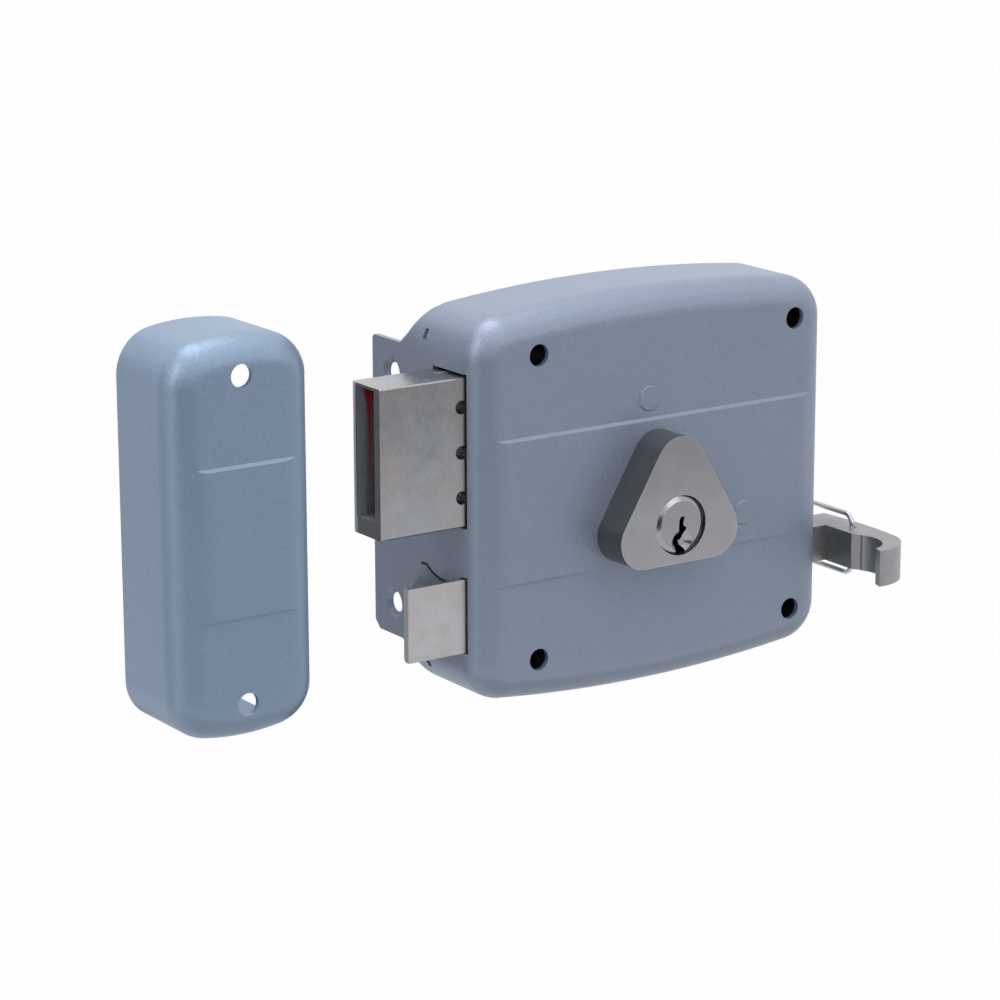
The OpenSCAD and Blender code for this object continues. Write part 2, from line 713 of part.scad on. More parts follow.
module bail_half() {
    // the half above the hook's middle: end in the hole, elbow, leg, elbow
    rise = bail_hi - hook_mid_z;
    run = bail_end - bail_y;
    translate([0, 0, 0.6]) cylinder(h = rise - bail_bend - 0.6, d = wire_d, $fn = 24);
    translate([0, bail_bend, rise - bail_bend]) mirror([0, 1, 0]) rotate([0, -90, 0]) wire_elbow();
    translate([0, bail_bend, rise]) rotate([-90, 0, 0]) cylinder(h = run - 2 * bail_bend, d = wire_d, $fn = 24);
    translate([0, run - bail_bend, rise - bail_bend]) rotate([0, -90, 0]) wire_elbow();
    translate([0, run, -eps]) cylinder(h = rise - bail_bend + eps, d = wire_d, $fn = 24);
}

module wire_bail() color(chrome) seat() translate([bail_x, bail_y, hook_mid_z]) {
    bail_half();
    mirror([0, 0, 1]) bail_half();
}

// Cylinder

module cylinder_body() color(nickel) seat() difference() {
    union() {
        along_y(housing_face, -band_rise) housing_2d(housing_r);
        along_y(-band_rise - eps, barrel_end) neck_2d(0);
    }
    rod_along_y(backset, plug_z, housing_face - 1, barrel_end + 1, plug_d + 2 * run_fit);
    translate([backset, housing_face - eps, plug_z]) rotate([-90, 0, 0])
        cylinder(h = 1.5, d1 = plug_d + 0.6, d2 = plug_d + 2 * run_fit);
    for (i = [0:pin_count - 1]) translate([backset, pin_first + i * pin_pitch, plug_z])
        cylinder(h = chamber_top - plug_z, d = chamber_d);
    clamp_spots() rod_along_y(0, 0, housing_face + 4, 1, clamp_screw_d + 2 * set_fit);
}

module clamp_plate() color(zinc) seat() difference() {
    along_y(sheet_t, sheet_t + clamp_t) housing_2d(housing_r);
    along_y(0, 10) neck_2d(0.1);
    clamp_spots() rod_along_y(0, 0, 0, 10, clamp_screw_d + 0.3);
}

module clamp_screws() color(zinc) seat() clamp_spots() difference() {
    union() {
        rod_along_y(0, 0, housing_face + 4.3, sheet_t + clamp_t, clamp_screw_d);
        rod_along_y(0, 0, sheet_t + clamp_t, sheet_t + clamp_t + 1.8, clamp_head_d);
    }
    box([-4, 4], [sheet_t + clamp_t + 1, sheet_t + clamp_t + 3], [-0.4, 0.4]);
}

// the zig-zag keyway seen from the front, measured from the plug's axis
module keyway_2d() {
    polygon([[0.1, 2.4], [-0.5, 1.5], [-0.65, -1.1], [-0.45, -2.2], [-1.25, -2.5], [-2.1, -3.6],
        [-1.5, -6.2], [-1.5, -plug_d], [1.8, -plug_d], [1.8, -7.5], [1.6, -6.8], [0.3, -5.8],
        [-0.1, -4.6], [0.6, -4.4], [1.25, -3.8], [1.5, -2.1], [2, -0.9], [1.1, -0.3], [0.8, 0.4],
        [1.1, 1.3], [1.3, 2.4]]);
}

module plug() color(nickel) seat() translate([backset, 0, plug_z]) {
    plug_end = barrel_end + 0.3;
    difference() {
        rotate([-90, 0, 0]) rotate_extrude() polygon([[0, plug_face], [plug_d / 2 - 1.4, plug_face],
            [plug_d / 2, plug_face + 0.6], [plug_d / 2, plug_end], [0, plug_end]]);
        along_y(plug_face - 1, plug_end - 3) keyway_2d();
        translate([0.4, plug_face - eps, -4.9]) rotate([-90, 0, 0]) cylinder(h = 1.3, d1 = 7, d2 = 3.4);
        for (i = [0:pin_count - 1]) translate([0, pin_first + i * pin_pitch, keyway_top - plug_z - 0.4])
            cylinder(h = plug_d, d = chamber_d);
    }
    difference() {
        rod_along_y(0, 0, plug_end - eps, pinion_y + pinion_t + 1.3, boss_d);
        box([flat_x, boss_d], [plug_end + 0.3, pinion_y + pinion_t + 2], [-boss_d, boss_d]);
        difference() {
            rod_along_y(0, 0, pinion_y + pinion_t + 0.1, pinion_y + pinion_t + 0.9, boss_d + 1);
            rod_along_y(0, 0, pinion_y, pinion_y + pinion_t + 2, boss_d - 0.8);
        }
    }
}

module pin_spots() {
    for (i = [0:pin_count - 1]) translate([backset, pin_first + i * pin_pitch, plug_z]) children();
}

shear_z = plug_d / 2;

module key_pins() color(brass) seat() pin_spots() {
    translate([0, 0, 3.4]) cylinder(h = shear_z - 0.25 - 3.4, d = pin_d);
    translate([0, 0, 2.4]) cylinder(h = 1 + eps, d1 = 1.2, d2 = pin_d);
}

module driver_pins() color(brass) seat() pin_spots()
    translate([0, 0, shear_z + 0.1]) cylinder(h = 4, d = pin_d);

module pin_springs() color(steel) seat() pin_spots() difference() {
    translate([0, 0, shear_z + 4.2]) cylinder(h = chamber_top - plug_z - shear_z - 4.3, d = pin_d - 0.1);
    translate([0, 0, shear_z]) cylinder(h = 20, d = pin_d - 1);
}

// half the angle of a tooth at radius r, on an involute of the rack's pressure angle
pinion_base = pitch_r * cos(pressure);
function involute(r) = let (a = acos(pinion_base / r)) tan(a) * 180 / PI - a;
function half_tooth(r) = (rack_pitch - backlash) / 4 / pitch_r * 180 / PI + involute(pitch_r)
    - (r > pinion_base ? involute(r) : 0);
flank_rs = [pinion_root - 0.3, pinion_base, pitch_r, (pitch_r + pinion_tip) / 2, pinion_tip];
function polar(r, a) = [r * sin(a), r * cos(a)];

module pinion_2d() {
    circle(pinion_root);
    for (i = [0:teeth - 1]) rotate(i * 360 / teeth) polygon(concat(
        [for (r = flank_rs) polar(r, half_tooth(r))],
        [for (i = [len(flank_rs) - 1:-1:0]) polar(flank_rs[i], -half_tooth(flank_rs[i]))]));
}

module drive_pinion() color(brass) seat() translate([backset, 0, plug_z]) difference() {
    along_y(pinion_y, pinion_y + pinion_t) pinion_2d();
    difference() {
        rod_along_y(0, 0, pinion_y - 1, pinion_y + pinion_t + 1, boss_d + 2 * set_fit);
        box([flat_x + set_fit, boss_d], [pinion_y - 2, pinion_y + pinion_t + 2], [-boss_d, boss_d]);
    }
}

module plug_clip() color(steel) seat() translate([backset, 0, plug_z]) difference() {
    rod_along_y(0, 0, pinion_y + pinion_t + 0.1, pinion_y + pinion_t + 0.9, 7);
    rod_along_y(0, 0, 0, case_d, boss_d - 0.8 + 2 * set_fit);
    box([-1.2, 1.2], [0, case_d], [-6, 0]);
}

// Staple

module staple_shell() color(paint) seat() translate([staple_x, 0, staple_lift]) difference() {
    union() {
        arched_box(staple_l, staple_h, staple_rise, corner_r, edge_r, 0, case_d);
        band(staple_l);
    }
    arched_box(staple_l, staple_h, staple_rise, corner_r, edge_r - sheet_t, sheet_t, case_d + 1, sheet_t);
    for (s = [-1, 1]) rod_along_y(staple_screw_in, s * staple_screw_dz / 2, -1, sheet_t + 1, screw_hole_d);
    box([staple_l - mouth_w, staple_l + 1], [mouth_lip, case_d + 1],
        [-staple_h, corner_z(staple_h, staple_rise, corner_r)]);
}

case_cover();
base_plate();
screw_posts();
guide_studs();
stud_sleeves();
spring_bracket();
bracket_rivets();
deadbolt_head();
deadbolt_tail();
deadbolt_rivets();
latch_head();
latch_tail();
latch_rivets();
spring_rod();
latch_spring();
pull_hook();
hook_rivets();
wire_bail();
cylinder_body();
clamp_plate();
clamp_screws();
plug();
key_pins();
driver_pins();
pin_springs();
drive_pinion();
plug_clip();
staple_shell();
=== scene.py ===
import math
import bpy
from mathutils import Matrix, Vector


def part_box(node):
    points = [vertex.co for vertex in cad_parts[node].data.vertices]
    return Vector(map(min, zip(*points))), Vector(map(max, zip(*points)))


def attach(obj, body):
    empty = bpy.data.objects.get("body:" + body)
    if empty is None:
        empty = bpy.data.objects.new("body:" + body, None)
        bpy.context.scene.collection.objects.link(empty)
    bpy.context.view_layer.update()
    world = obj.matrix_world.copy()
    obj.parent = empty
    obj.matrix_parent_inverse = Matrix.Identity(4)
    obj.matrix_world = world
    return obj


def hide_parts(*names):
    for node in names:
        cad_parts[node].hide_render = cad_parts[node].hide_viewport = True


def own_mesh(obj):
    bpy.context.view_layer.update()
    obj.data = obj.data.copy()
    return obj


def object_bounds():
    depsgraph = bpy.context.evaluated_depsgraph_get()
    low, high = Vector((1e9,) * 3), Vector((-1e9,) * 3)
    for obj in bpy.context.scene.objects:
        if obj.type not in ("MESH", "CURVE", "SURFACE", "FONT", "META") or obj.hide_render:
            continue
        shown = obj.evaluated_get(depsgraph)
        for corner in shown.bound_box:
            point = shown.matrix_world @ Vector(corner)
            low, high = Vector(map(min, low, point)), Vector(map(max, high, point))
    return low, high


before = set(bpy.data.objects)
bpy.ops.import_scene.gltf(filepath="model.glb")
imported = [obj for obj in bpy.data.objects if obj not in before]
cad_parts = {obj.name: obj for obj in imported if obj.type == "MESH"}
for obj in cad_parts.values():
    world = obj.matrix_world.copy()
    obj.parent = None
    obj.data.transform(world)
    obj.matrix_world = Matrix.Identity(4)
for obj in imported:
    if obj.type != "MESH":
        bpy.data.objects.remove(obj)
cadLow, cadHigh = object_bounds()
scene = bpy.context.scene
scene.view_settings.view_transform = "Standard"
print("frame loaded:", len(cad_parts), "pieces")

# the camera stands where the photographer stood, in front and to the left
cameraSet = {
    "place": (-0.57117, -0.78646, 0.24053),
    "tilt": (75.537, 0.155, -34.231),
    "lens": 126.27,
    "sensor": 36.0,
    "near": 0.05,
    "far": 40.0,
}

cameraData = bpy.data.cameras.new("camera")
cameraData.lens = cameraSet["lens"]
cameraData.sensor_width = cameraSet["sensor"]
cameraData.clip_start = cameraSet["near"]
cameraData.clip_end = cameraSet["far"]
camera = bpy.data.objects.new("camera", cameraData)
camera.location = cameraSet["place"]
camera.rotation_euler = [math.radians(a) for a in cameraSet["tilt"]]
scene.collection.objects.link(camera)
scene.camera = camera
print("camera in place")


# shader building: the finishes give sizes and places in millimetres, the scene is in metres;
# their pairs, such as topShadeRise, say where a change starts and where it is complete
perMetre = 1000.0
white = (1.0, 1.0, 1.0, 1.0)
edgeSet = {"samples": 6, "lean": (0.02, 0.22)}      # what counts as an edge


class Signal:
    # one socket that can stand in a sum like a number
    def __init__(self, nodes, socket):
        self.nodes = nodes
        self.socket = socket

    def maths(self, kind, other, swapped=False):
        pair = [other, self] if swapped else [self, other]
        return self.nodes.add("ShaderNodeMath", {"operation": kind}, pair)

    def __add__(self, other):
        return self.maths("ADD", other)

    def __radd__(self, other):
        return self.maths("ADD", other, True)

    def __sub__(self, other):
        return self.maths("SUBTRACT", other)

    def __rsub__(self, other):
        return self.maths("SUBTRACT", other, True)

    def __mul__(self, other):
        return self.maths("MULTIPLY", other)

    def __rmul__(self, other):
        return self.maths("MULTIPLY", other, True)

    def __pow__(self, other):
        return self.maths("POWER", other)

    def __rpow__(self, other):
        return self.maths("POWER", other, True)

    def __neg__(self):
        return 0.0 - self


class Nodes:
    # the nodes of one material, or of the world, while they are laid out
    def __init__(self, owner):
        owner.use_nodes = True
        self.owner = owner
        self.tree = owner.node_tree
        self.tree.nodes.clear()

    def add(self, kind, settings=None, inputs=None, out=0):
        # settings come first, then the values or links of the sockets, by place or by name
        node = self.tree.nodes.new(kind)
        for key, value in (settings or {}).items():
            setattr(node, key, value)
        pairs = enumerate(inputs) if isinstance(inputs, list) else (inputs or {}).items()
        for key, value in pairs:
            if isinstance(value, Signal):
                self.tree.links.new(value.socket, node.inputs[key])
            else:
                node.inputs[key].default_value = value
        return Signal(self, node.outputs[out]) if node.outputs else None

    def several(self, kind, inputs, names):
        # more than one output of one node
        outputs = self.add(kind, {}, inputs).socket.node.outputs
        return [Signal(self, outputs[name]) for name in names]

    def seen(self):
        # 1 where the surroundings are looked at, straight or in gloss, 0 where they only light
        camera, gloss, glass = self.several("ShaderNodeLightPath", [], [
            "Is Camera Ray", "Is Glossy Ray", "Is Transmission Ray"])
        return camera + gloss + glass

    def close(self, surface, kind="ShaderNodeOutputMaterial"):
        self.add(kind, {}, {"Surface": surface})
        return self.owner


class Finish(Nodes):
    # a surface with layers of noise over its colour
    def __init__(self, name, rough, tone=1.0):
        super().__init__(bpy.data.materials.new(name))
        self.place = self.add("ShaderNodeTexCoord", {}, {}, "Object")
        self.tone = tone
        self.rough = rough
        self.bumps = []

    def axes(self):
        parts = self.several("ShaderNodeSeparateXYZ", [self.place], "XYZ")
        return [part * perMetre for part in parts]

    def facing(self):
        # the way the surface faces on the object itself, wherever the piece has moved to
        turned = self.add("ShaderNodeTexCoord", {}, {}, "Normal")
        return self.several("ShaderNodeSeparateXYZ", [turned], "XYZ")

    def noise(self, size, detail=2.0, grain=0.5, stretch=(1, 1, 1), shift=(0, 0, 0)):
        # size is the width of a blotch; shift takes the noise from elsewhere, in metres
        spot = self.add("ShaderNodeMapping", {}, {
            "Vector": self.place, "Location": shift, "Scale": stretch})
        return self.add("ShaderNodeTexNoise", {}, {
            "Vector": spot, "Scale": perMetre / size, "Detail": detail, "Roughness": grain})

    def layer(self, size, tone=0.0, rough=0.0, bump=None, **noise):
        # a noise that swings tone and roughness to both sides; bump is (strength, height)
        spread = self.noise(size, **noise)
        swing = spread - 0.5
        if tone:
            self.tone = self.tone + swing * tone
        if rough:
            self.rough = self.rough + swing * rough
        if bump:
            self.bumps.append((spread, *bump))
        return spread

    def edge(self, radius, tone):
        # paler where the rounded normal leans away from the true one, which is on an edge: a
        # painted highlight along the edges, on the steels partly their wear as well
        soft = self.add("ShaderNodeBevel", {"samples": edgeSet["samples"]}, {
            "Radius": radius / perMetre})
        true = self.add("ShaderNodeNewGeometry", {}, {}, "Normal")
        alike = self.add("ShaderNodeVectorMath", {"operation": "DOT_PRODUCT"},
                         [soft, true], "Value")
        self.tone = self.tone + self.fade(1.0 - alike, *edgeSet["lean"]) * tone

    def fade(self, value, low, high):
        # 0 below low, 1 above high, smooth between
        return self.add("ShaderNodeMapRange", {"interpolation_type": "SMOOTHSTEP"}, {
            "Value": value, "From Min": low, "From Max": high})

    def fall(self, value, low, high):
        # 1 below low, 0 above high
        return self.fade(-value, -high, -low)

    def mix(self, amount, first, second):
        # the colour sockets of a Mix node have these numbers
        return self.add("ShaderNodeMix", {"data_type": "RGBA"}, {
            0: amount, 6: tinted(first), 7: tinted(second)}, 2)

    def shade(self, colour, amount):
        # a colour made lighter or darker
        return self.add("ShaderNodeVectorMath", {"operation": "SCALE"}, {
            "Vector": colour, "Scale": amount})

    def surface(self, colour, sockets):
        # the bumps are laid on each other
        inputs = {"Base Color": self.shade(colour, self.tone), "Roughness": self.rough, **sockets}
        for spread, strength, height in self.bumps:
            bump = {"Height": spread, "Strength": strength, "Distance": height / perMetre}
            if "Normal" in inputs:
                bump["Normal"] = inputs["Normal"]
            inputs["Normal"] = self.add("ShaderNodeBump", {}, bump)
        return self.add("ShaderNodeBsdfPrincipled", {}, inputs)

    def finish(self, colour, metal=1.0):
        return self.close(self.surface(colour, {"Metallic": metal}))


def tinted(colour):
    return colour if isinstance(colour, Signal) else (*colour, 1.0)


def dress(names, material):
    for name in names:
        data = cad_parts[name].data
        data.materials.clear()
        data.materials.append(material)
        for face in data.polygons:
            face.material_index = 0


# painted steel: a satin metallic paint with a fine speckle and a faint unevenness, painted shade
# on the slopes that face down, and a painted highlight on its edges
paintSet = {
    "case": (0.268, 0.318, 0.422),
    "staple": (0.250, 0.340, 0.470),
    "stapleShift": (0.31, 0.17, 0.05),      # so that the staple doesn't repeat the case
    "metal": 0.40,
    "rough": 0.40,
    "speckle": {"size": 0.55, "detail": 3.0, "grain": 0.65, "tone": 0.36, "rough": 0.18,
                "bump": (0.6, 0.03)},
    "cloud": {"size": 26.0, "tone": 0.07},
    "peel": {"size": 1.1, "grain": 0.45, "rough": 0.10, "bump": (0.7, 0.14)},
    # a painted highlight along the edges
    "edge": {"radius": 0.5, "tone": 0.10},
    "downShadeTone": 0.16,                      # how much darker the slopes that face down are painted: painted shade
    "shadeDownFacing": (-0.35, -0.12),
    "shadeFrontFacing": (-0.75, -0.45),
}


def paintFinish(name, colour, shift=(0, 0, 0)):
    look = paintSet
    f = Finish(name, look["rough"])
    for layer in ("speckle", "cloud", "peel"):
        f.layer(**look[layer], shift=shift)
    # the paler edges are a painted highlight
    f.edge(**look["edge"])
    # painted shade: the slopes that face down and to the front are painted darker
    ny, nz = f.facing()[1:]
    downShade = f.fall(nz, *look["shadeDownFacing"]) * f.fall(ny, *look["shadeFrontFacing"])
    f.tone = f.tone - downShade * look["downShadeTone"]
    return f.finish(colour, look["metal"])


dress(["case_cover", "guide_studs"], paintFinish("case paint", paintSet["case"]))
dress(["staple_shell"], paintFinish("staple paint", paintSet["staple"], paintSet["stapleShift"]))
print("paint done")


# bolts, latch, hook and inner plates: brushed steel with warm and cool blotches, and edges paler
# from wear and a painted highlight; the screw posts nearly black, as painted shade
steelSet = {
    "bolt": {"colour": (0.415, 0.425, 0.475), "warm": (0.405, 0.385, 0.39), "rough": 0.27,
             "blotch": 14.0, "depth": 0.30, "brush": (1, 1, 6), "grit": 0.05, "edgeWearAndHighlight": 0.08},
    "latch": {"colour": (0.52, 0.515, 0.54), "warm": (0.49, 0.475, 0.47), "rough": 0.32,
              "blotch": 6.0, "depth": 0.22, "brush": (1, 1, 5), "grit": 0.08, "edgeWearAndHighlight": 0.20},
    "hook": {"colour": (0.345, 0.355, 0.375), "warm": (0.325, 0.32, 0.32), "rough": 0.42,
             "blotch": 7.0, "depth": 0.22, "brush": (1, 1, 8), "grit": 0.08, "edgeWearAndHighlight": 0.20},
    "plate": {"colour": (0.47, 0.46, 0.43), "warm": (0.47, 0.44, 0.37), "rough": 0.42,
              "blotch": 6.0, "depth": 0.18, "brush": (6, 1, 1), "grit": 0.08, "edgeWearAndHighlight": 0.20},
    # the screw posts are nearly black: painted shade inside the screw holes
    "post": {"colour": (0.05, 0.05, 0.055), "warm": (0.05, 0.045, 0.04), "rough": 0.5,
             "blotch": 3.0, "depth": 0.2, "brush": (1, 6, 1), "grit": 0.08, "edgeWearAndHighlight": 0.20},
}

# what all of these steels have alike
grainSet = {
    "blotch": {"detail": 4.0, "grain": 0.6, "rough": 0.20},
    "patch": {"detail": 3.0, "grain": 0.6, "rough": 0.12, "shift": (0.11, 0.07, 0.02)},
    "patchShare": 0.35,         # the size of a patch against a blotch
    "brush": {"size": 0.5, "grain": 0.6, "tone": 0.16, "rough": 0.14, "bump": (0.2, 0.02)},
    "grit": {"size": 0.35, "bump": (0.15, 0.02)},
    "warm": (0.42, 0.62),       # where a blotch turns warm
    "edge": 0.35,
}


def steelFinish(name, look, shift=(0, 0, 0), stain=None):
    f = Finish(name, look["rough"])
    blotch = f.layer(look["blotch"], look["depth"], shift=shift, **grainSet["blotch"])
    f.layer(look["blotch"] * grainSet["patchShare"], look["depth"], **grainSet["patch"])
    f.layer(stretch=[1.0 / s for s in look["brush"]], shift=shift, **grainSet["brush"])
    f.layer(tone=look["grit"], shift=shift, **grainSet["grit"])
    # paler edges: partly wear, partly a painted highlight
    f.edge(grainSet["edge"], look["edgeWearAndHighlight"])
    base = f.mix(f.fade(blotch, *grainSet["warm"]), look["colour"], look["warm"])
    if stain:
        return f.finish(*stain(f, base))
    return f.finish(base)


# the bolt's nose: inside the pocket painted light near the mouth and painted shade deeper in, with
# a red smear down its back;
# its end face darker as a painted dark reflection, the rear lip of that end pale as a painted
# highlight, and the front darker towards its top as painted shade
noseSet = {
    "pocket": ((-90.9, -72.0), (-20.9, -11.2), (1.0, 37.5)),
    "pocketEdge": 0.2,
    "litMouth": (0.34, 0.38, 0.42),
    # lighter and cooler near the pocket's mouth: painted light
    "bare": (0.29, 0.27, 0.30),
    "litMouthTo": (-88.3, -87.7),
    "ragged": {"size": 2.2, "detail": 3.0, "grain": 0.6},
    "raggedWidth": 1.2,
    # nearly black deeper in the pocket: painted shade
    "dark": (0.05, 0.05, 0.055),
    "pocketShadeFrom": (-86.1, -84.7),
    "smear": (0.50, 0.04, 0.06),
    "smearAt": -86.7,
    "smearHalf": 0.60,
    "smearSpread": 1.3,             # how much wider it gets at the top
    "smearTop": (29.0, 37.0),
    "smearEdge": (-0.35, 0.35),
    "smearRagged": 0.4,
    "smearLeast": 0.10,
    "smearMore": 0.85,
    "smearRise": (6.0, 32.0),
    # the end face painted darker: a painted dark reflection
    "endShade": (0.16, 0.165, 0.18),
    "endShadeFacing": (-0.75, -0.55),
    "endShadeAt": (-90.9, -90.4),
    # the rear lip painted pale: a painted highlight
    "lipHighlight": (0.48, 0.48, 0.50),
    "lipHighlightFrom": (-12.0, -11.4),
    "frontFacing": (-0.8, -0.6),
    "frontTopShade": 0.80,                # the front is painted darker towards its top: painted shade
    "topShadeRise": (2.0, 38.0),
    "dull": 0.75,                   # how much less metal the pocket and the lip show
}


def inside(f, box, soft):
    mask = 1.0
    for value, (low, high) in zip(f.axes(), box):
        within = f.fade(value, low - soft, low + soft) * f.fall(value, high - soft, high + soft)
        mask = within * mask
    return mask


def noseStain(f, base):
    look = noseSet
    x, y, z = f.axes()
    nx, ny = f.facing()[:2]
    pocket = inside(f, look["pocket"], look["pocketEdge"])
    ragged = (f.noise(**look["ragged"]) - 0.5) * look["raggedWidth"]
    # painted light near the pocket's mouth, painted shade deeper in
    bare = f.mix(f.fade(x + ragged, *look["litMouthTo"]), look["litMouth"], look["bare"])
    bare = f.mix(f.fade(x, *look["pocketShadeFrom"]), bare, look["dark"])
    off = ((x - look["smearAt"] + ragged * look["smearRagged"]) ** 2.0) ** 0.5
    half = look["smearHalf"] + f.fade(z, *look["smearTop"]) * look["smearSpread"]
    strength = look["smearLeast"] + f.fade(z, *look["smearRise"]) * look["smearMore"]
    bare = f.mix(f.fall(off - half, *look["smearEdge"]) * strength, bare, look["smear"])
    # a painted dark reflection on the end face
    end = f.fall(nx, *look["endShadeFacing"]) * f.fall(x, *look["endShadeAt"])
    # a painted highlight on the rear lip of the end face
    lipHighlight = end * f.fade(y, *look["lipHighlightFrom"])
    # painted shade: the front darker towards its top
    front = f.fall(ny, *look["frontFacing"])
    base = f.shade(base, 1.0 - front * (1.0 - look["frontTopShade"]) * f.fade(z, *look["topShadeRise"]))
    base = f.mix(pocket, base, bare)
    base = f.mix(end, base, look["endShade"])
    base = f.mix(lipHighlight, base, look["lipHighlight"])
    return base, 1.0 - pocket * look["dull"] - lipHighlight * look["dull"]


dress(["deadbolt_head", "deadbolt_rivets"],
      steelFinish("bolt steel", steelSet["bolt"], stain=noseStain))
dress(["latch_head", "latch_rivets"],
      steelFinish("latch steel", steelSet["latch"], (0.2, 0, 0)))
dress(["pull_hook", "hook_rivets"],
      steelFinish("hook steel", steelSet["hook"], (0, 0.4, 0)))
# the posts' near black is painted shade in the screw holes
dress(["screw_posts"], steelFinish("dark steel", steelSet["post"]))
dress(["base_plate", "stud_sleeves", "spring_bracket", "bracket_rivets",
       "deadbolt_tail", "latch_tail", "clamp_plate", "clamp_screws"],
      steelFinish("zinc plate", steelSet["plate"], (0, 0, 0.3)))
print("steel done")


# the cylinder's housing: satin nickel, brushed upright, with painted shade on its top, a painted
# dark reflection on its sides, a painted highlight on its edges, and a ring of painted shade in
# the gap round the plug
housingSet = {
    "colour": (0.375, 0.375, 0.405),
    # the top painted darker: painted shade
    "top": (0.325, 0.32, 0.34),
    "topShadeRise": (-8.0, 14.0),
    # the sides painted darker: a painted dark reflection
    "side": (0.22, 0.22, 0.215),
    "darkSideFacing": (-0.75, -0.35),
    "rough": 0.34,
    "blotch": {"size": 8.0, "detail": 3.0, "tone": 0.22, "rough": 0.12},
    "brush": {"size": 0.6, "grain": 0.6, "stretch": (1, 1, 1.0 / 12), "tone": 0.10,
              "bump": (0.12, 0.02)},
    "grit": {"size": 0.4, "tone": 0.08, "bump": (0.15, 0.02)},
    # a painted highlight along the edges
    "edge": {"radius": 0.5, "tone": 0.5},
    # the dark ring is painted shade in the gap round the plug
    "gapShade": (0.05, 0.05, 0.055),
    "ringCentre": (-4.4, -8.0),
    "ringTo": (8.46, 8.54),             # the radius where the painted shade of the gap stops
    "ringDepth": (-40.75, -40.63),      # behind the face it gives way to bare metal
    "ringBack": 0.85,                   # by this share
}

# the plug: brighter nickel, with painted shade in the keyway and a painted highlight on its edges
plugSet = {
    "colour": (0.34, 0.345, 0.37),
    # painted shade deep in the keyway
    "keywayShade": (0.03, 0.03, 0.03),
    "keywayShadeFrom": (-39.75, -38.55),
    "rough": 0.20,
    "blotch": {"size": 5.0, "detail": 3.0, "tone": 0.14, "rough": 0.12},
    "grit": {"size": 0.5, "grain": 0.6, "tone": 0.1, "bump": (0.1, 0.02)},
    # a painted highlight along the edges
    "edge": {"radius": 0.3, "tone": 0.15},
}


def housingFinish():
    look = housingSet
    f = Finish("satin nickel", look["rough"])
    for layer in ("blotch", "brush", "grit"):
        f.layer(**look[layer])
    f.edge(**look["edge"])
    x, y, z = f.axes()
    ny = f.facing()[1]
    # painted shade on the top, a painted dark reflection on the sides
    base = f.mix(f.fade(z, *look["topShadeRise"]), look["colour"], look["top"])
    base = f.mix(f.fade(ny, *look["darkSideFacing"]), base, look["side"])
    centreX, centreZ = look["ringCentre"]
    reach = ((x - centreX) ** 2.0 + (z - centreZ) ** 2.0) ** 0.5
    # painted shade in the gap round the plug
    gapShade = f.fall(reach, *look["ringTo"])
    gapShade = gapShade * (1.0 - f.fade(y, *look["ringDepth"]) * look["ringBack"])
    return f.finish(f.mix(gapShade, base, look["gapShade"]))


def plugFinish():
    look = plugSet
    f = Finish("plug nickel", look["rough"])
    f.layer(**look["blotch"])
    f.layer(**look["grit"])
    f.edge(**look["edge"])
    y = f.axes()[1]
    # painted shade deep in the keyway
    return f.finish(f.mix(f.fade(y, *look["keywayShadeFrom"]), look["colour"], look["keywayShade"]))


dress(["cylinder_body"], housingFinish())
dress(["plug"], plugFinish())
print("cylinder done")


# small inner pieces and bright wire
smallSet = {
    "brass": {"colour": (0.56, 0.40, 0.16), "rough": 0.32},
    "spring": {"colour": (0.38, 0.38, 0.40), "rough": 0.30},
    "wire": {"colour": (0.52, 0.53, 0.56), "rough": 0.14},
    "marks": {"size": 0.4, "grain": 0.6, "stretch": (1, 1, 0.2), "tone": 0.2,
              "bump": (0.15, 0.02)},
    "cloud": {"size": 3.0, "tone": 0.16, "rough": 0.14},
}


def turnedFinish(name, look):
    f = Finish(name, look["rough"])
    f.layer(**smallSet["marks"])
    f.layer(**smallSet["cloud"])
    return f.finish(look["colour"])


dress(["key_pins", "driver_pins", "drive_pinion"], turnedFinish("turned brass", smallSet["brass"]))
springSteel = turnedFinish("spring steel", smallSet["spring"])
dress(["spring_rod", "pin_springs", "plug_clip"], springSteel)
dress(["wire_bail"], turnedFinish("bright wire", smallSet["wire"]))
print("small pieces done")


# the latch spring, wound round and smooth
springSet = {
    "turns": 9.0,
    "shutTurns": 2.0,       # the closed ones, half of them at each end
    "wire": 0.8,
    "shut": 0.5,            # air between the closed turns
    "stepsPerTurn": 32,
    "sides": 12,
    "travel": 16.8,         # how far the latch comes in
    "spare": 0.3,           # a margin, to stay clear of the latch
}


